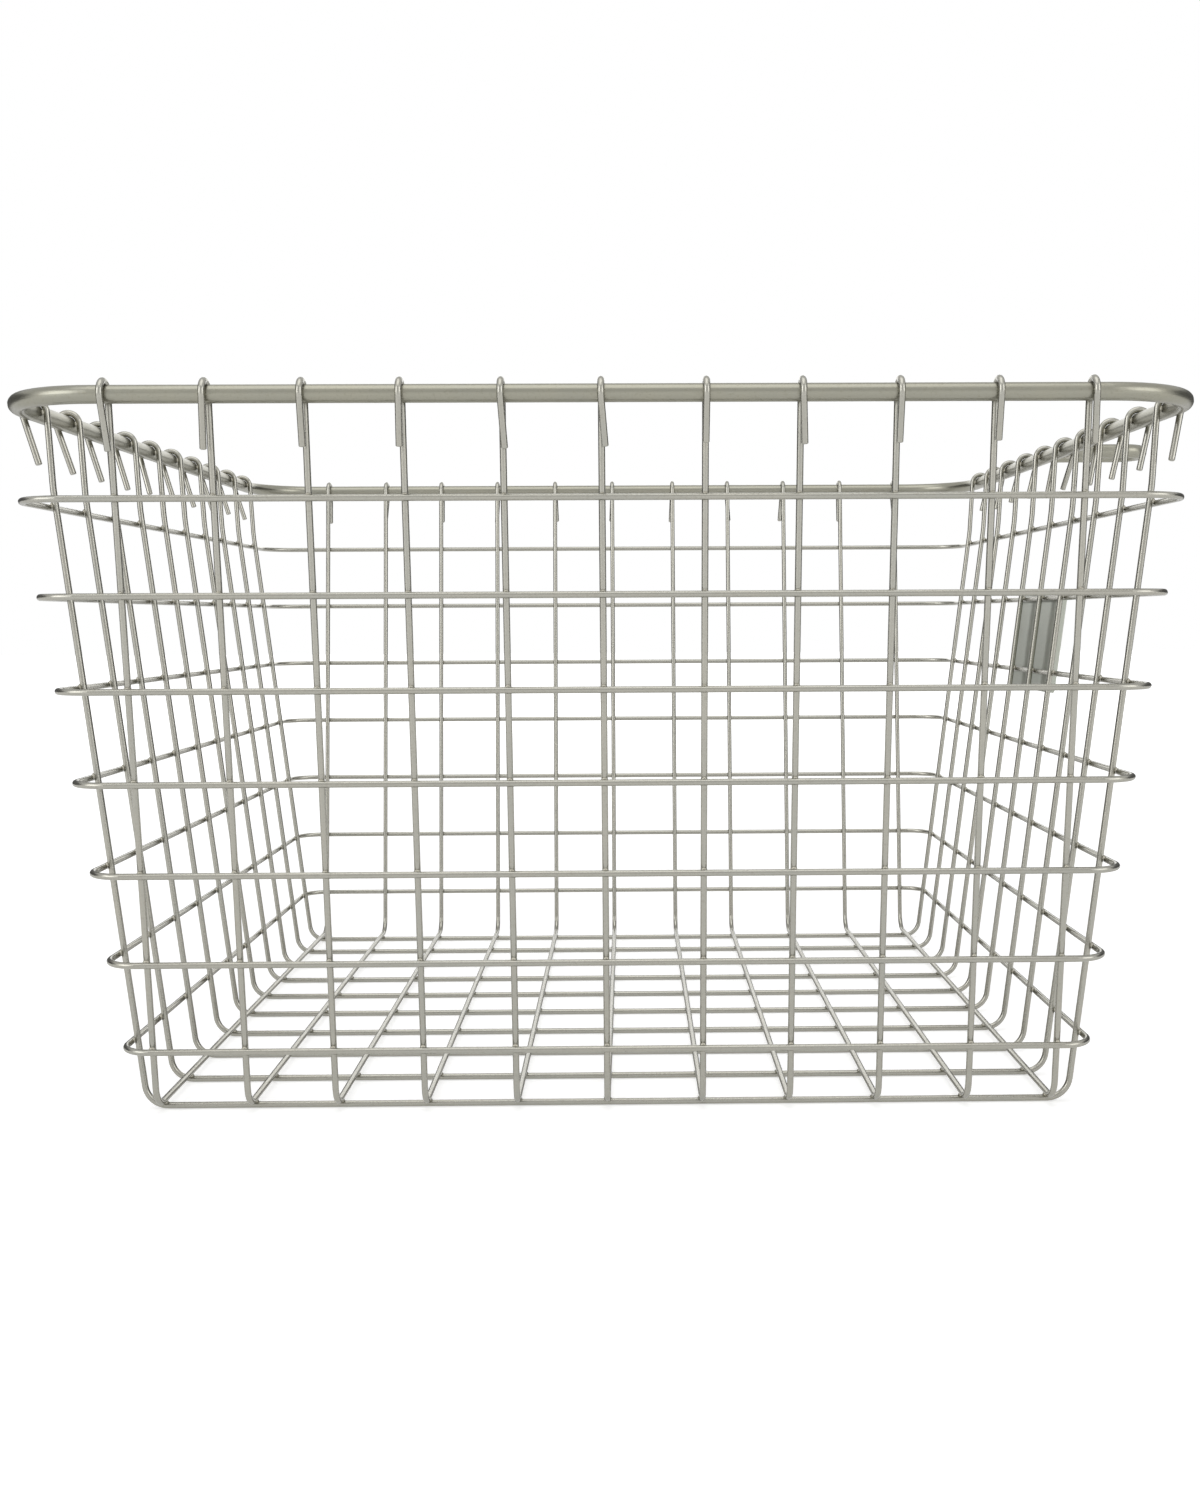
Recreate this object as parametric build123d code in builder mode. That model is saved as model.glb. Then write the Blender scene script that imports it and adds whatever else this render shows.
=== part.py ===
import os
from math import asin, atan2, cos, floor, hypot, pi, radians, sin, tan

from build123d import *

# Wire locker basket, in millimetres. The origin is on the ground under the middle of the floor.
# X runs across the basket to the wall with the label holder, Y runs front to back, Z is up.

# Overall size, over the outside of the rim rod, and the height of the rod's centreline
overall_width = 320.0
overall_depth = 302.0
rim_height = 196.8

# The walls: how far inside the rim's centreline their wires run at the knee, where they have
# straightened up to reach the rim, and how many degrees they lean below it
side_wall_inset = 4.45
front_wall_inset = 5.45
wall_lean = 6.9

# Wire, rod and sheet
wire_diameter = 1.8
rim_diameter = 4.75
sheet_thickness = 0.8

# The mesh: how far apart the hoops stand, how many rings lie round them, how far the upper one
# is below the rim and the lowest one above the ground, and how close the welded pieces come
mesh_pitch = 25.4
ring_count = 7
upper_ring_drop = 26.0
lowest_ring_height = 19.6
weld_gap = 0.08
layer_gap = 0.15

# Bends: the corners of the rim and of the rings seen from above, and wall to floor
rim_corner_radius = 27.0
upper_ring_corner_radius = 13.0
lowest_ring_corner_radius = 8.5
floor_bend_radius = 6.5

# The knee, where the wall wires straighten up, lies a little above the upper ring
knee_above_ring = 5.0
knee_bend_radius = 60.0

# The hooks: how many degrees they close past level on the outside, and how many degrees each
# tail leans to one side
hook_close_angle = 17.0
right_hook_close_angle = 13.0
front_tail_angles = (1.8, -4.0, -1.0, -2.2, 3.0, 4.4, -0.3, 3.4, 0.5, 1.0, 3.8)
back_tail_angles = (2.0, -3.0, 1.0, -2.0, 3.0, -2.0, -3.0, 3.0, -6.0, -1.0, 2.0)
left_tail_angles = (1.0, -3.0, 1.0, 5.0, 12.0, 3.0, 4.0, -3.0, 2.0, -1.0)
right_tail_angles = (10.0, 4.0, 2.0, 12.0, -16.0, 10.0, 1.0, -4.0, 5.0, -2.0)

# How far the tails reach below the rim's centreline, with each tail's share of that, and how
# their cut ends are rounded
tail_drop = 14.0
tail_bend_radius = 4.0
tail_end_radius = 0.3
front_drop_shares = (1.02, 0.99, 0.95, 0.95, 0.99, 0.96, 0.9, 0.93, 0.91, 0.88, 0.93)
back_drop_shares = (1.0, 0.97, 0.98)
left_drop_shares = (1.02, 1.03, 1.03, 1.06, 1.02, 1.04, 1.06, 1.02, 1.0, 1.03)
right_drop_shares = (1.03, 1.04, 1.06, 1.04, 0.96, 0.95, 0.91, 0.88, 0.94, 0.86)

# How far each long hoop was welded off its even place, in shares of the mesh
long_hoop_drift_shares = (0.0, 0.01, -0.02, -0.035, -0.02, -0.015, 0.045, 0.015, 0.0, 0.0, -0.04)

# The label holder, measured along the sloping wall
label_width = 52.0
label_above_ring = 3.0
label_below_ring = 6.5
label_card_space = 1.4
label_lip_width = 3.6
label_corner_radius = 1.5
label_fold_radius = 0.3
label_upper_ring = 2

# The lock loop, from the rim's centreline to the outside of its round end
lock_loop_reach = 32.0
lock_loop_spacing = 15.0

# What follows from these sizes
wire_radius = wire_diameter / 2
rim_radius = rim_diameter / 2
lean_sine = sin(radians(wall_lean))
lean_cosine = cos(radians(wall_lean))
lean_tangent = tan(radians(wall_lean))
rim_half_width = overall_width / 2 - rim_radius
rim_half_depth = overall_depth / 2 - rim_radius
hook_radius = rim_radius + wire_radius + weld_gap
upper_ring_height = rim_height - upper_ring_drop
knee_height = upper_ring_height + knee_above_ring
knee_half_width = rim_half_width - side_wall_inset
knee_half_depth = rim_half_depth - front_wall_inset
lower_floor_height = wire_radius
upper_floor_height = lower_floor_height + wire_diameter + layer_gap
ring_offset = (wire_diameter + weld_gap) / lean_cosine


def wall_distance(knee_half_size, height):
    """Distance of a wall wire's centreline from the middle of the basket, below the knee."""
    return knee_half_size - (knee_height - height) * lean_tangent


# Hoops stand one mesh apart and stay clear of the bend between wall and floor
floor_half_width = wall_distance(knee_half_width, lower_floor_height)
floor_half_depth = wall_distance(knee_half_depth, upper_floor_height)
bend_reach = floor_bend_radius * tan(radians(90 - wall_lean) / 2)
outer_hoop_space = bend_reach - wire_radius - layer_gap
hoops_each_side = floor((floor_half_width - outer_hoop_space) / mesh_pitch)
cross_hoop_pairs = floor((floor_half_depth - outer_hoop_space) / mesh_pitch + 1 / 2)
long_hoop_places = [
    mesh_pitch * (step + long_hoop_drift_shares[index % len(long_hoop_drift_shares)])
    for index, step in enumerate(range(-hoops_each_side, hoops_each_side + 1))
]
cross_hoop_places = [
    mesh_pitch * (step + 1 / 2) for step in range(-cross_hoop_pairs, cross_hoop_pairs)
]

# Rings lie at even heights, the upper one first
ring_drop = (upper_ring_height - lowest_ring_height) / (ring_count - 1)
ring_heights = [upper_ring_height - ring_drop * step for step in range(ring_count)]

os.makedirs("parts", exist_ok=True)


def sweep_length_error(part, section_radius, length):
    """Share by which a swept part's volume departs from its section times its length."""
    return abs(part.volume / (pi * section_radius**2 * length) - 1)


def save(part, label, section_radius=None, length=None):
    """Name a finished piece, write it, and report a sweep whose volume is wrong."""
    part.label = label
    export_step(part, f"parts/{label}.step")
    if section_radius:
        error = sweep_length_error(part, section_radius, length)
        print(f"{label}: length {length:.1f} mm, volume error {error:.5f}")


def hook_shape(index, hook_angle, tail_angles, drop_shares):
    """One hook's close angle, the lean of its tail, and how far the tail drops."""
    tail_angle = tail_angles[index % len(tail_angles)]
    drop_share = drop_shares[index % len(drop_shares)]
    return hook_angle, tail_angle, tail_drop * drop_share


def add_hook(hoop_end, side, rim_half_size, hook_angle, tail_angle, drop):
    """Draw one end of a hoop round the rim: the arc over the rod, a slight turn to one side,
    and the free tail. The line runs in the hoop's own plane, where X is outwards or inwards
    and Y is up."""
    rim_centre = Vector(side * rim_half_size, rim_height)
    close_angle = radians(hook_angle)
    top = rim_centre + Vector(0, hook_radius)
    arc_end = rim_centre + Vector(side * cos(close_angle), -sin(close_angle)) * hook_radius
    down = Vector(-side * sin(close_angle), -cos(close_angle))
    sideways = Vector(0, 0, 1 if tail_angle > 0 else -1)
    lean = radians(abs(tail_angle))

    def turned(angle):
        return arc_end + (down * sin(angle) + sideways * (1 - cos(angle))) * tail_bend_radius

    turn_end = turned(lean)
    tail_run = down * cos(lean) + sideways * sin(lean)
    tail_end = turn_end + tail_run * ((drop - rim_height + turn_end.Y) / -tail_run.Y)
    ThreePointArc(tuple(hoop_end), tuple(top), tuple(arc_end))
    ThreePointArc(tuple(arc_end), tuple(turned(lean / 2)), tuple(turn_end))
    Line(tuple(turn_end), tuple(tail_end))


def make_hoop(plane, rim_half_size, knee_half_size, floor_height, hooks, label):
    """Bend one hoop: a U of wall, floor and wall with a hook over the rim at each end. From
    the knee up, each wall runs to where it touches the hook's arc."""
    floor_half_size = wall_distance(knee_half_size, floor_height)
    to_rim = (rim_half_size - knee_half_size, rim_height - knee_height)
    top_lean = atan2(*to_rim) - asin(hook_radius / hypot(*to_rim))
    wall_top = rim_half_size - hook_radius * cos(top_lean)
    top_height = rim_height + hook_radius * sin(top_lean)
    corners = [
        (-wall_top, top_height),
        (-knee_half_size, knee_height),
        (-floor_half_size, floor_height),
        (floor_half_size, floor_height),
        (knee_half_size, knee_height),
        (wall_top, top_height),
    ]
    bend_radii = [knee_bend_radius, floor_bend_radius, floor_bend_radius, knee_bend_radius]
    with BuildLine(plane) as path:
        FilletPolyline(*corners, radius=bend_radii)
        add_hook(Vector(*corners[0]), -1, rim_half_size, *hooks[0])
        add_hook(Vector(*corners[-1]), 1, rim_half_size, *hooks[1])
    wire_line = path.wire()
    with BuildPart() as hoop:
        with BuildSketch(Plane(origin=wire_line @ 0, z_dir=wire_line % 0)):
            Circle(wire_radius)
        sweep(path=wire_line)
        fillet(hoop.faces().filter_by(GeomType.PLANE).edges(), tail_end_radius)
    save(hoop.part, label, wire_radius, wire_line.length)


def make_ring(half_width, half_depth, corner_radius, height, section_radius, label):
    """Bend one closed ring with rounded corners, flat at a height."""
    corners = [
        (half_width, -half_depth),
        (half_width, half_depth),
        (-half_width, half_depth),
        (-half_width, -half_depth),
    ]
    with BuildLine(Plane.XY.offset(height)) as path:
        FilletPolyline(*corners, radius=corner_radius, close=True)
    ring_line = path.wire()
    with BuildPart() as ring:
        with BuildSketch(Plane(origin=ring_line @ 0, z_dir=ring_line % 0)):
            Circle(section_radius)
        sweep(path=ring_line)
    save(ring.part, label, section_radius, ring_line.length)


# The rim rod
make_ring(rim_half_width, rim_half_depth, rim_corner_radius, rim_height, rim_radius, "rim_rod")

# Long hoops, in planes across X, on top of the cross hoops where they pass along the floor
for index, place in enumerate(long_hoop_places):
    hooks = (
        hook_shape(index, hook_close_angle, front_tail_angles, front_drop_shares),
        hook_shape(index, hook_close_angle, back_tail_angles, back_drop_shares),
    )
    make_hoop(
        Plane.YZ.offset(place),
        rim_half_depth,
        knee_half_depth,
        upper_floor_height,
        hooks,
        f"long_hoop_{index + 1:02d}",
    )

# Cross hoops, in planes across Y, which carry the basket
for index, place in enumerate(cross_hoop_places):
    hooks = (
        hook_shape(index, hook_close_angle, left_tail_angles, left_drop_shares),
        hook_shape(index, right_hook_close_angle, right_tail_angles, right_drop_shares),
    )
    make_hoop(
        Plane.XZ.offset(-place),
        rim_half_width,
        knee_half_width,
        lower_floor_height,
        hooks,
        f"cross_hoop_{index + 1:02d}",
    )

# Band rings, round the outside of the hoops, with wider corners towards the top
corner_growth = upper_ring_corner_radius - lowest_ring_corner_radius
for index, height in enumerate(ring_heights):
    drop_share = index / (ring_count - 1)
    make_ring(
        wall_distance(knee_half_width, height) + ring_offset,
        wall_distance(knee_half_depth, height) + ring_offset,
        upper_ring_corner_radius - corner_growth * drop_share,
        height,
        wire_radius,
        f"band_ring_{index + 1}",
    )

# Label holder: a folded sheet on the outside of two rings, open at its top. Its plane lies on
# the outside of the rings, with X along the wall, Y up the slope and Z outwards.
label_height = label_above_ring + ring_drop / lean_cosine + label_below_ring
label_ring_height = ring_heights[label_upper_ring - 1]
label_back = wire_diameter + weld_gap + wire_radius + weld_gap
label_plane = Plane(
    origin=(
        wall_distance(knee_half_width, label_ring_height) + label_back * lean_cosine,
        0,
        label_ring_height - label_back * lean_sine,
    ),
    x_dir=(0, 1, 0),
    z_dir=(lean_cosine, 0, -lean_sine),
)
label_middle = label_above_ring - label_height / 2
label_front = sheet_thickness + label_card_space
label_opening_width = label_width - 2 * label_lip_width
label_slot_width = label_width - 2 * sheet_thickness
with BuildPart() as label_holder:
    with BuildSketch(label_plane):
        with Locations((0, label_middle)):
            RectangleRounded(label_width, label_height, label_corner_radius)
    extrude(amount=label_front + sheet_thickness)
    with BuildSketch(label_plane.offset(sheet_thickness)):
        with Locations((0, label_middle + sheet_thickness)):
            Rectangle(label_slot_width, label_height)
    extrude(amount=label_card_space, mode=Mode.SUBTRACT)
    with BuildSketch(label_plane.offset(label_front)):
        with Locations((0, label_middle + label_lip_width)):
            RectangleRounded(label_opening_width, label_height, label_corner_radius)
    extrude(amount=sheet_thickness, mode=Mode.SUBTRACT)
    across_sheet = label_holder.faces().sort_by(Axis(label_plane.origin, label_plane.z_dir))
    fillet(across_sheet[0].edges() + across_sheet[-1].edges(), label_fold_radius)
save(label_holder.part, "label_holder")

# Lock loop: a rod bent into a U, flat at the height of the rim, its ends on the rim's outside
loop_start = rim_half_width + rim_radius + weld_gap
loop_half_spacing = lock_loop_spacing / 2
loop_arc_centre = rim_half_width + lock_loop_reach - rim_radius - loop_half_spacing
with BuildLine(Plane.XY.offset(rim_height)) as loop_path:
    Line((loop_start, -loop_half_spacing), (loop_arc_centre, -loop_half_spacing))
    ThreePointArc(
        (loop_arc_centre, -loop_half_spacing),
        (loop_arc_centre + loop_half_spacing, 0),
        (loop_arc_centre, loop_half_spacing),
    )
    Line((loop_arc_centre, loop_half_spacing), (loop_start, loop_half_spacing))
loop_line = loop_path.wire()
with BuildPart() as lock_loop:
    with BuildSketch(Plane(origin=loop_line @ 0, z_dir=loop_line % 0)):
        Circle(rim_radius)
    sweep(path=loop_line)
save(lock_loop.part, "lock_loop", rim_radius, loop_line.length)
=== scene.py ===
import random
from math import cos, pi, radians, sin

import bpy
from mathutils import Matrix, Vector


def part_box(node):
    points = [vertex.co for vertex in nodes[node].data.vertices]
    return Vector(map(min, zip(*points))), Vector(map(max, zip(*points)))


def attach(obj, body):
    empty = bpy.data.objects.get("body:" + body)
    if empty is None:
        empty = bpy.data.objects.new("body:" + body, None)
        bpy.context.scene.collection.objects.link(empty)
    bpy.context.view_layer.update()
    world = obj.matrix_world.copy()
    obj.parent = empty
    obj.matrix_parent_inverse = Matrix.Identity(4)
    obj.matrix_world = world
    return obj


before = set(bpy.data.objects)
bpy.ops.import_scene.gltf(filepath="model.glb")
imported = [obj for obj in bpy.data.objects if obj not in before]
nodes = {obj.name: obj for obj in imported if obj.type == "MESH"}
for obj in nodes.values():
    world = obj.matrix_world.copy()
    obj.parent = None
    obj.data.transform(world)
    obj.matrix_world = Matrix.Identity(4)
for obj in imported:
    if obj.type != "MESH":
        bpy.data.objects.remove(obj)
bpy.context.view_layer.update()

# Wire locker basket, in metres. X runs across the basket to the wall with the label holder,
# Y runs from the near wall to the far one, and Z is up from the ground.

# Wire and rod, as they are in the solids, and how far the walls lean below and above their knee
wire_radius = 0.0009
rim_radius = 0.002375
weld_gap = 0.00008
wall_lean = radians(6.9)
side_top_lean = radians(2.98)
front_top_lean = radians(5.66)

long_hoops = sorted(name for name in nodes if name.startswith("long_hoop"))
cross_hoops = sorted(name for name in nodes if name.startswith("cross_hoop"))
rings = sorted(name for name in nodes if name.startswith("band_ring"))

# The plating's colours, each from a warm tone to a cool one
wire_warm = (0.362, 0.350, 0.305)
wire_cool = (0.330, 0.328, 0.296)
# The rim rod's two tones are the wire plating made darker: painted shade, which darkens the rod
# and the lock loop against the wires
rod_shaded_warm = (0.290, 0.280, 0.226)
rod_shaded_cool = (0.264, 0.262, 0.224)
sheet_warm = (0.400, 0.412, 0.358)
sheet_cool = (0.362, 0.384, 0.344)
weld_dark = (0.33, 0.315, 0.265)
weld_light = (0.40, 0.385, 0.33)

# How rough wire, rod and sheet are, how strong their drawing lines are, and how many lines there
# are to a metre
wire_surface = (0.25, 0.05, 2600.0)
rod_surface = (0.31, 0.05, 1500.0)
sheet_surface = (0.34, 0.25, 1800.0)

# The plating's unevenness: patches and clouds of the two tones, and fine dull specks. Scales are
# features to a metre, details are how many finer layers each one has, and the shares say how much
# it shows. All of it swings round the noise's middle value.
noise_middle = 0.5
coarse_detail = 3.0
fine_detail = 2.0
patch_scale = 26.0
cloud_scale = 150.0
speck_scale = 1400.0
speck_grain = 0.6
patch_share = 1.3
cloud_share = 0.8
speck_start = 0.54
speck_full = 0.74
dull_share = 0.86
cloud_roughness = 0.08
fine_roughness = 0.04
edge_tint = (0.80, 0.80, 0.80, 1.0)
bump_height = 0.00003
line_bump_share = 0.5
speck_bump_share = 0.3

# The welds' own unevenness
lump_scale = 900.0
lump_depth = 0.35
lump_height = 0.00008
weld_roughness = 0.28
lump_roughness = 0.12

# Half sizes of the squeezed metal: along the outer wire, through the pair, and up the wall. On
# the walls it sits a little above the crossing, and each bead spreads at its foot.
wire_weld_size = (0.00088, 0.00060, 0.00085)
wire_weld_rise = 0.00048
wire_weld_spread = 1.2
floor_weld_size = (0.00105, 0.00105, 0.00050)
floor_weld_spread = 1.1
hook_weld_size = (0.00095, 0.00045, 0.00100)
hook_weld_spread = 1.15
loop_weld_size = (0.00150, 0.00305, 0.00305)
loop_weld_spread = 1.0

# On a bead of radius 1, where its foot starts and how flat the foot is
foot_start = -0.2
foot_flatness = 0.8

# How uneven the welds are, in share of their size and in degrees: the same draw each time
weld_draw = random.Random(11)
weld_size_spread = 0.12
weld_twist = 12

# The studio: the room's light on the object, and the paper under it. The paper glows for the
# camera and in the metal only, and more with distance, so that it stays white where the lamps
# don't reach it.
room_light = 0.46
floor_size = 12.0
floor_drop = 0.0001
paper_white = (0.86, 0.86, 0.86, 1.0)
near_glow = 0.42
far_glow_rise = 0.45
glow_per_metre = 0.4

# The grey cards beside the far wall: size, place of the right one, and how far each is turned
card_grey = 0.16
card_width = 2.2
card_height = 0.9
card_place = (1.26, 0.82, 0.45)
card_turn = radians(57)

# Each lamp: where it stands, its width and height, and its power in watts
basket_middle = (0, 0, 0.1)
lamps = {
    "lamp_top": ((-0.1, -0.35, 1.5), 1.3, 1.3, 6.5),
    "lamp_left": ((-1.4, -1.1, 0.75), 1.1, 1.1, 8.6),
    "lamp_right": ((1.4, -1.1, 0.75), 1.1, 1.1, 6.6),
    "lamp_back": ((0.0, 2.0, 0.75), 1.7, 0.9, 5.8),
}

# The camera, as the photograph's perspective gives it: its place, how far it is tipped down,
# turned and rolled, and its focal length and axis in the photograph's pixels
camera_place = (0.0059, -0.5453, 0.1388)
camera_pitch = radians(4.268)
camera_turn = radians(0.714)
camera_roll = radians(0.286)
focal_length_pixels = 1530.2
optical_centre = (646.6, 734.3)
picture_width = 1200
picture_height = 1485
sensor_size = 36.0
nearest_seen = 0.01
farthest_seen = 50


def deselect_all():
    """Leave nothing selected, so that an operator acts on the piece in hand only."""
    if bpy.context.object and bpy.context.object.mode != "OBJECT":
        bpy.ops.object.mode_set(mode="OBJECT")
    for thing in bpy.context.selected_objects:
        thing.select_set(False)


class Value:
    """A number that a finish works out at each point. Sums and products of it add Math nodes."""

    def __init__(self, finish, socket):
        self.finish = finish
        self.socket = socket

    def maths(self, operation, first, second):
        node = self.finish.add(
            "ShaderNodeMath", {"operation": operation}, {0: first, 1: second}
        )
        return Value(self.finish, node.outputs[0])

    def __add__(self, other):
        return self.maths("ADD", self, other)

    def __radd__(self, other):
        return self.maths("ADD", other, self)

    def __sub__(self, other):
        return self.maths("SUBTRACT", self, other)

    def __rsub__(self, other):
        return self.maths("SUBTRACT", other, self)

    def __mul__(self, other):
        return self.maths("MULTIPLY", self, other)

    def __rmul__(self, other):
        return self.maths("MULTIPLY", other, self)

    def larger(self, other):
        return self.maths("MAXIMUM", self, other)


class Finish:
    """The nodes of one material or of the world."""

    def __init__(self, owner):
        self.owner = owner
        owner.use_nodes = True
        self.tree = owner.node_tree

    def add(self, kind, settings=None, inputs=None):
        """Add one node: its settings first, then the values or links of its sockets."""
        node = self.tree.nodes.new(kind)
        for name, value in (settings or {}).items():
            if name == "stops":
                elements = node.color_ramp.elements
                for index, (position, colour) in enumerate(value):
                    element = elements[index] if index < 2 else elements.new(position)
                    element.position = position
                    element.color = (*colour, 1.0)
            else:
                setattr(node, name, value)
        for name, value in (inputs or {}).items():
            self.feed(node.inputs[name], value)
        return node

    def feed(self, socket, value):
        """Link a value or a socket, or set a plain number or colour."""
        if isinstance(value, Value):
            self.tree.links.new(value.socket, socket)
        elif isinstance(value, bpy.types.NodeSocket):
            self.tree.links.new(value, socket)
        else:
            socket.default_value = value

    def noise(self, place, scale, detail, grain=0.5):
        """Cloudy variation from 0 to 1, in three dimensions."""
        node = self.add(
            "ShaderNodeTexNoise",
            {"noise_dimensions": "3D"},
            {"Vector": place, "Scale": scale, "Detail": detail, "Roughness": grain},
        )
        return Value(self, node.outputs["Fac"])

    def lines(self, place, scale, detail):
        """Variation along one coordinate only, which makes parallel lines."""
        node = self.add(
            "ShaderNodeTexNoise",
            {"noise_dimensions": "1D"},
            {"W": place, "Scale": scale, "Detail": detail},
        )
        return Value(self, node.outputs["Fac"])

    def blend(self, share, first, second):
        """A colour between two colours. The Mix node's colour sockets have the same names as its
        number sockets, so they go by their index."""
        node = self.add("ShaderNodeMix", {"data_type": "RGBA"}, {"Factor": share})
        self.feed(node.inputs[6], first)
        self.feed(node.inputs[7], second)
        return node.outputs[2]


def satin_nickel(name, line_axis, warm, cool, surface):
    """Satin nickel plating over drawn wire or rolled sheet. The drawing lines run square to
    line_axis, which is along the piece for a hoop or ring that lies flat across that axis."""
    rough, line_depth, line_scale = surface
    finish = Finish(bpy.data.materials.new(name))
    shader = finish.tree.nodes["Principled BSDF"]
    place = finish.add("ShaderNodeTexCoord").outputs["Object"]
    across = finish.add("ShaderNodeSeparateXYZ", None, {0: place}).outputs[line_axis]
    patches = finish.noise(place, patch_scale, coarse_detail)
    clouds = finish.noise(place, cloud_scale, fine_detail)
    specks = finish.noise(place, speck_scale, fine_detail, speck_grain)
    drawn = finish.lines(across, line_scale, fine_detail)
    patch_swing = patches - noise_middle
    cloud_swing = clouds - noise_middle
    fine_swing = (specks - noise_middle) + (drawn - noise_middle)
    tone = patch_swing * patch_share + cloud_swing * cloud_share + noise_middle
    hue = finish.add("ShaderNodeClamp", None, {"Value": tone}).outputs[0]
    plating = finish.blend(hue, (*cool, 1.0), (*warm, 1.0))
    dull = tuple(dull_share * part for part in warm)
    speck_share = finish.add(
        "ShaderNodeValToRGB",
        {"stops": ((speck_start, (0, 0, 0)), (speck_full, (1, 1, 1)))},
        {0: specks},
    ).outputs[0]
    roughness = rough + cloud_swing * cloud_roughness + fine_swing * fine_roughness
    bump = finish.add(
        "ShaderNodeBump",
        None,
        {
            "Strength": line_depth,
            "Distance": bump_height,
            "Height": drawn * line_bump_share + specks * speck_bump_share,
        },
    )
    finish.feed(
        shader.inputs["Base Color"], finish.blend(speck_share, plating, (*dull, 1.0))
    )
    finish.feed(shader.inputs["Metallic"], 1.0)
    finish.feed(shader.inputs["Roughness"], roughness)
    finish.feed(shader.inputs["Specular Tint"], edge_tint)
    finish.feed(shader.inputs["Normal"], bump.outputs[0])
    return finish.owner


def weld_metal(name):
    """The metal squeezed out of a spot weld, plated with the rest: a little brighter and
    slightly uneven."""
    finish = Finish(bpy.data.materials.new(name))
    shader = finish.tree.nodes["Principled BSDF"]
    place = finish.add("ShaderNodeTexCoord").outputs["Object"]
    lumps = finish.noise(place, lump_scale, coarse_detail)
    colour = finish.blend(lumps, (*weld_dark, 1.0), (*weld_light, 1.0))
    bump = finish.add(
        "ShaderNodeBump",
        None,
        {"Strength": lump_depth, "Distance": lump_height, "Height": lumps},
    )
    finish.feed(shader.inputs["Base Color"], colour)
    finish.feed(shader.inputs["Metallic"], 1.0)
    finish.feed(shader.inputs["Roughness"], weld_roughness + lumps * lump_roughness)
    finish.feed(shader.inputs["Normal"], bump.outputs[0])
    return finish.owner


def give(names, material):
    """Put a finish on CAD nodes."""
    for name in names:
        for slot in nodes[name].material_slots:
            slot.material = material


# Finishes

# The rim finish is the wire plating with painted shade: its tones are darker, so the rim rod and
# the lock loop render darker
rim_rod = satin_nickel("nickel_rim_shaded", "Z", rod_shaded_warm, rod_shaded_cool, rod_surface)
holder_sheet = satin_nickel("nickel_sheet", "Z", sheet_warm, sheet_cool, sheet_surface)
give(long_hoops, satin_nickel("nickel_long_hoops", "X", wire_warm, wire_cool, wire_surface))
give(cross_hoops, satin_nickel("nickel_cross_hoops", "Y", wire_warm, wire_cool, wire_surface))
give(rings, satin_nickel("nickel_rings", "Z", wire_warm, wire_cool, wire_surface))
give(["rim_rod", "lock_loop"], rim_rod)
give(["label_holder"], holder_sheet)
weld_finish = weld_metal("nickel_welds")


# Spot welds

def make_bead(size, spread):
    """One drop of squeezed metal, round on top and spread at its foot."""
    deselect_all()
    bpy.ops.mesh.primitive_ico_sphere_add(subdivisions=2, radius=1, location=(0, 0, 0))
    bead = bpy.context.object
    bpy.ops.object.mode_set(mode="EDIT")
    bpy.ops.mesh.select_mode(type="VERT")
    bpy.ops.mesh.select_all(action="DESELECT")
    bpy.ops.object.mode_set(mode="OBJECT")
    for vertex in bead.data.vertices:
        vertex.select = vertex.co.z < foot_start
    bpy.ops.object.mode_set(mode="EDIT")
    bpy.ops.transform.resize(value=(spread, spread, foot_flatness), center_override=(0, 0, 0))
    bpy.ops.mesh.select_all(action="SELECT")
    bpy.ops.transform.resize(value=size, center_override=(0, 0, 0))
    bpy.ops.object.mode_set(mode="OBJECT")
    bpy.ops.object.shade_smooth()
    deselect_all()
    return bead


def uneven_weld():
    """A small change of a bead's size and turn, drawn anew for each weld."""
    smallest, largest = 1 - weld_size_spread, 1 + weld_size_spread
    sizes = [weld_draw.uniform(smallest, largest) for _ in range(3)]
    turn = radians(weld_draw.uniform(-weld_twist, weld_twist))
    return Matrix.Rotation(turn, 4, "Y") @ Matrix.Diagonal(sizes).to_4x4()


def weld_row(name, bead, places):
    """Copy a bead to each place and join the copies."""
    copies = []
    for place in places:
        copy = bead.copy()
        copy.data = bead.data.copy()
        bpy.context.collection.objects.link(copy)
        copy.data.transform(place @ uneven_weld())
        copies.append(copy)
    deselect_all()
    for copy in copies:
        copy.select_set(True)
    bpy.context.view_layer.objects.active = copies[0]
    bpy.ops.object.join()
    row = copies[0]
    row.name = name
    row.data.name = name
    row.data.materials.clear()
    row.data.materials.append(weld_finish)
    deselect_all()
    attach(row, "root")


def hoop_place(node, axis):
    """Where a hoop stands, from the stretch of it that lies on the floor."""
    floor_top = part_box(node)[0].z + 2 * wire_radius
    spots = [v.co[axis] for v in nodes[node].data.vertices if v.co.z < floor_top]
    return (min(spots) + max(spots)) / 2


long_places = [hoop_place(name, 0) for name in long_hoops]
cross_places = [hoop_place(name, 1) for name in cross_hoops]
rim_low, rim_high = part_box("rim_rod")
rim_height = (rim_low.z + rim_high.z) / 2

# Each wall: its name, its direction round the basket, the places of its hoops along it, the axis
# that it faces, and how far it leans above the knee
walls = (
    ("right", 0, cross_places, 0, side_top_lean),
    ("left", pi, [-y for y in cross_places], 0, side_top_lean),
    ("back", pi / 2, [-x for x in long_places], 1, front_top_lean),
    ("front", -pi / 2, long_places, 1, front_top_lean),
)


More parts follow.
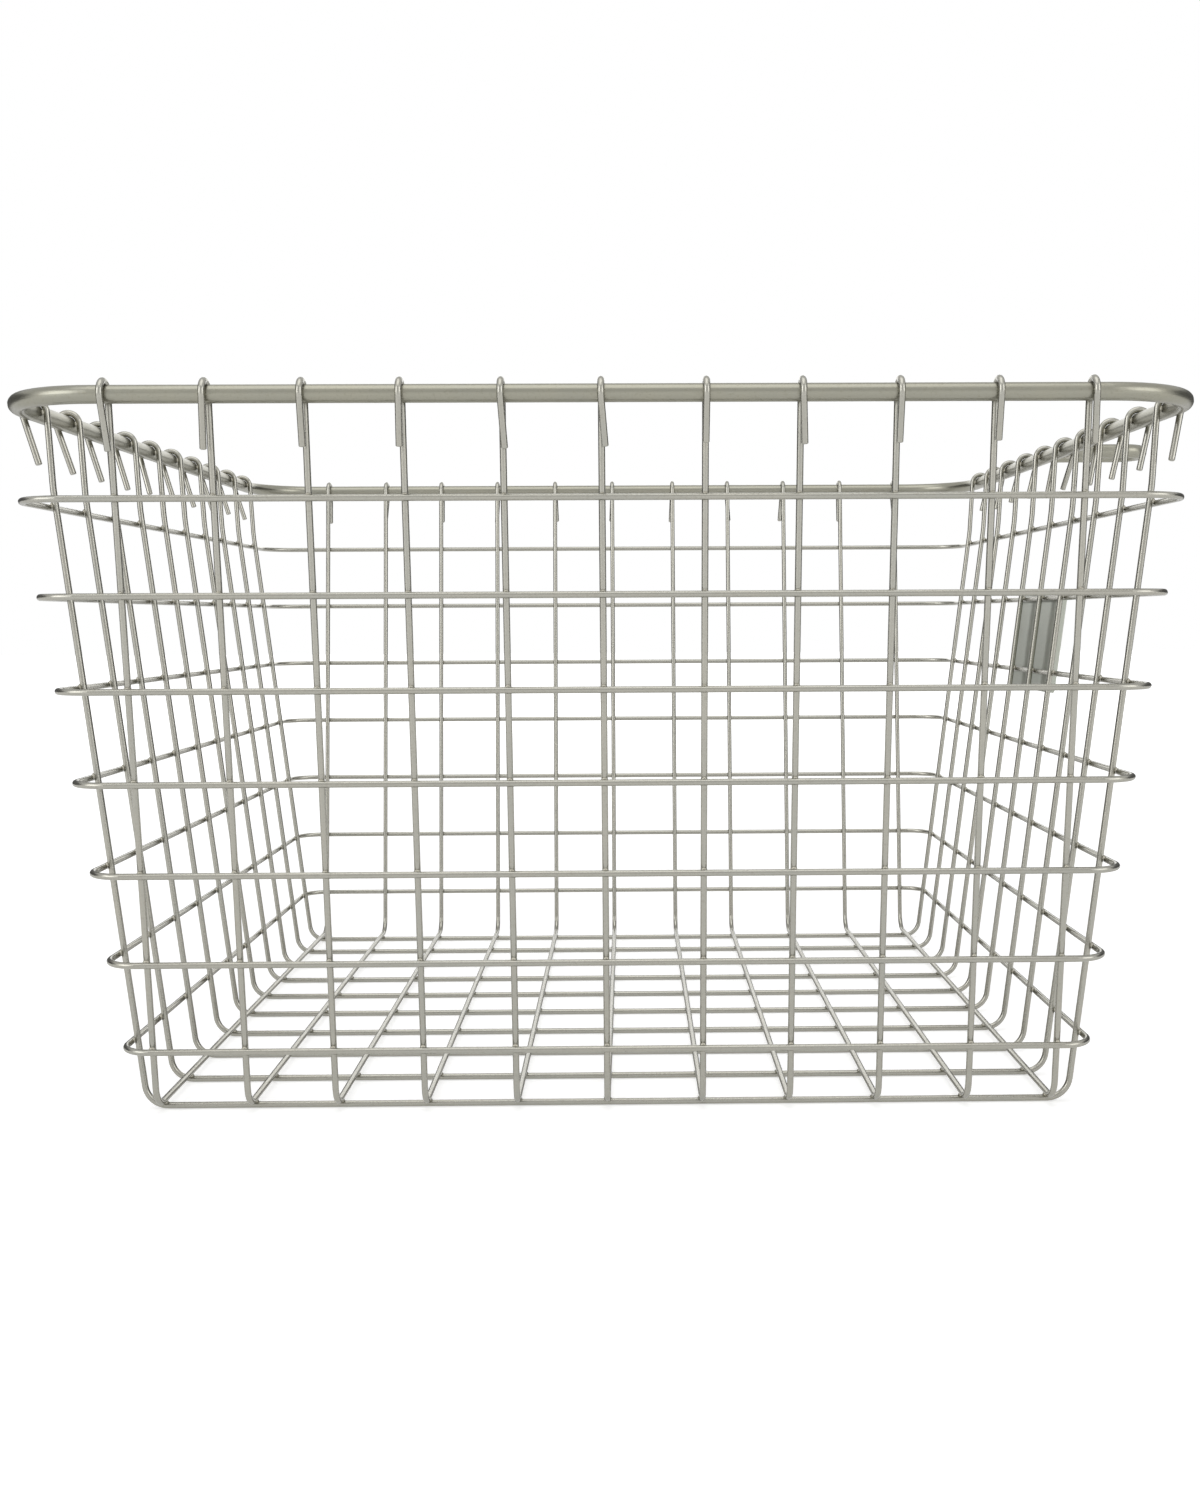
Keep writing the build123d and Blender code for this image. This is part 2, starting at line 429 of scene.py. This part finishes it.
def wall_welds(turn, places, axis):
    """Where the hoops of one wall meet the rings."""
    spots = []
    outward = Matrix.Rotation(turn, 4, "Z")
    lean = Matrix.Rotation(wall_lean, 4, "Y")
    upright = Matrix.Rotation(pi / 2, 4, "Z")
    contact = wire_radius + weld_gap / 2
    for ring in rings:
        low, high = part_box(ring)
        reach = high[axis] - wire_radius
        height = (low.z + high.z) / 2
        for place in places:
            spot = Matrix.Translation((reach, place, height))
            inwards = Matrix.Translation((-contact, 0, wire_weld_rise))
            spots.append(outward @ spot @ lean @ inwards @ upright)
    return spots


def hook_welds(turn, places, axis, top_lean):
    """Where the wall wires come up against the inside of the rim rod, under their hooks."""
    spots = []
    outward = Matrix.Rotation(turn, 4, "Z")
    lean = Matrix.Rotation(top_lean, 4, "Y")
    upright = Matrix.Rotation(pi / 2, 4, "Z")
    contact = rim_radius + weld_gap / 2
    for place in places:
        spot = Matrix.Translation((rim_high[axis] - rim_radius, place, rim_height))
        inwards = Matrix.Translation((-contact, 0, 0))
        spots.append(outward @ spot @ lean @ inwards @ upright)
    return spots


wall_bead = make_bead(wire_weld_size, wire_weld_spread)
for name, turn, places, axis, _ in walls:
    weld_row(f"welds_{name}", wall_bead, wall_welds(turn, places, axis))
bpy.data.objects.remove(wall_bead)

# On the floor the long hoops lie on the cross hoops
floor_bead = make_bead(floor_weld_size, floor_weld_spread)
lower_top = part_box(cross_hoops[0])[0].z + 2 * wire_radius
upper_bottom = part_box(long_hoops[0])[0].z
floor_height = (lower_top + upper_bottom) / 2
floor_spots = [
    Matrix.Translation((x, y, floor_height)) for x in long_places for y in cross_places
]
weld_row("welds_floor", floor_bead, floor_spots)
bpy.data.objects.remove(floor_bead)

hook_bead = make_bead(hook_weld_size, hook_weld_spread)
hook_spots = []
for _, turn, places, axis, top_lean in walls:
    hook_spots += hook_welds(turn, places, axis, top_lean)
weld_row("welds_hooks", hook_bead, hook_spots)
bpy.data.objects.remove(hook_bead)

# Each leg of the lock loop has a weld all round its foot, against the rim
loop_bead = make_bead(loop_weld_size, loop_weld_spread)
loop_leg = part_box("lock_loop")[1].y - rim_radius
loop_spots = [
    Matrix.Translation((rim_high.x, side * loop_leg, rim_height)) for side in (-1, 1)
]
weld_row("welds_lock_loop", loop_bead, loop_spots)
bpy.data.objects.remove(loop_bead)


# The studio

def seen_share(finish):
    """1 for rays from the camera, or by way of a mirror or glass, and 0 for the rest."""
    path = finish.add("ShaderNodeLightPath")
    camera_ray = Value(finish, path.outputs["Is Camera Ray"])
    glossy_ray = Value(finish, path.outputs["Is Glossy Ray"])
    through_ray = Value(finish, path.outputs["Is Transmission Ray"])
    return camera_ray.larger(glossy_ray).larger(through_ray)


def softbox(name, place, width, height, power):
    """A soft lamp with a flat square-cornered face, turned to the basket."""
    data = bpy.data.lights.new(name, "AREA")
    data.shape = "RECTANGLE"
    data.size = width
    data.size_y = height
    data.energy = power
    lamp = bpy.data.objects.new(name, data)
    bpy.context.collection.objects.link(lamp)
    lamp.location = place
    towards = Vector(basket_middle) - Vector(place)
    lamp.rotation_euler = towards.to_track_quat("-Z", "Y").to_euler()
    lamp.visible_camera = False


def dark_card(name, place, turn):
    """A grey card beside the set, which no ray from the camera sees. It gives the wires their
    dark edges."""
    deselect_all()
    bpy.ops.mesh.primitive_plane_add(size=1, location=(0, 0, 0))
    card = bpy.context.object
    card.name = name
    card.scale = (card_width, card_height, 1)
    card.rotation_euler = (pi / 2, 0, turn)
    card.location = place
    card.data.materials.append(card_paper)
    card.visible_camera = False
    card.visible_diffuse = False
    card.visible_shadow = False


world = bpy.context.scene.world or bpy.data.worlds.new("studio")
bpy.context.scene.world = world
room = Finish(world)
room.tree.nodes.clear()
room_colour = room.blend(
    seen_share(room), (room_light, room_light, room_light, 1.0), (1.0, 1.0, 1.0, 1.0)
)
background = room.add("ShaderNodeBackground", None, {"Color": room_colour, "Strength": 1.0})
room.add("ShaderNodeOutputWorld", None, {"Surface": background.outputs[0]})

deselect_all()
bpy.ops.mesh.primitive_plane_add(size=floor_size, location=(0, 0, -floor_drop))
floor = bpy.context.object
floor.name = "studio_floor"
paper = Finish(bpy.data.materials.new("studio_paper"))
paper.tree.nodes.clear()
matt = paper.add("ShaderNodeBsdfDiffuse", None, {"Color": paper_white})
paper_place = paper.add("ShaderNodeTexCoord").outputs["Object"]
distance = paper.add("ShaderNodeVectorMath", {"operation": "LENGTH"}, {0: paper_place})
far_rise = Value(paper, distance.outputs["Value"]) * glow_per_metre
far_share = paper.add("ShaderNodeClamp", None, {"Value": far_rise}).outputs[0]
glow_level = Value(paper, far_share) * far_glow_rise + near_glow
glow = paper.add("ShaderNodeEmission", None, {"Strength": glow_level * seen_share(paper)})
both = paper.add("ShaderNodeAddShader", None, {0: matt.outputs[0], 1: glow.outputs[0]})
paper.add("ShaderNodeOutputMaterial", None, {"Surface": both.outputs[0]})
floor.data.materials.append(paper.owner)

for name, (place, width, height, power) in lamps.items():
    softbox(name, place, width, height, power)

card_finish = Finish(bpy.data.materials.new("studio_card"))
card_finish.tree.nodes.clear()
card_glow = card_finish.add("ShaderNodeEmission", None, {"Strength": card_grey})
card_finish.add("ShaderNodeOutputMaterial", None, {"Surface": card_glow.outputs[0]})
card_paper = card_finish.owner
card_reach, card_back, card_rise = card_place
dark_card("card_left", (-card_reach, card_back, card_rise), card_turn)
dark_card("card_right", (card_reach, card_back, card_rise), -card_turn)

# The camera. The picture is taller than it is wide, so the sensor's size is that of its height.
camera_data = bpy.data.cameras.new("camera")
camera = bpy.data.objects.new("camera", camera_data)
bpy.context.collection.objects.link(camera)
forward = Vector(
    (
        sin(camera_turn) * cos(camera_pitch),
        cos(camera_turn) * cos(camera_pitch),
        -sin(camera_pitch),
    )
)
level_right = Vector((cos(camera_turn), -sin(camera_turn), 0))
level_down = forward.cross(level_right)
right = cos(camera_roll) * level_right + sin(camera_roll) * level_down
down = cos(camera_roll) * level_down - sin(camera_roll) * level_right
axes = Matrix((right, -down, -forward)).transposed().to_4x4()
camera.matrix_world = Matrix.Translation(camera_place) @ axes
camera_data.sensor_width = sensor_size
camera_data.lens = focal_length_pixels * sensor_size / picture_height
camera_data.shift_x = (picture_width / 2 - optical_centre[0]) / picture_height
camera_data.shift_y = (optical_centre[1] - picture_height / 2) / picture_height
camera_data.clip_start = nearest_seen
camera_data.clip_end = farthest_seen
bpy.context.scene.camera = camera
bpy.context.scene.view_settings.view_transform = "Standard"
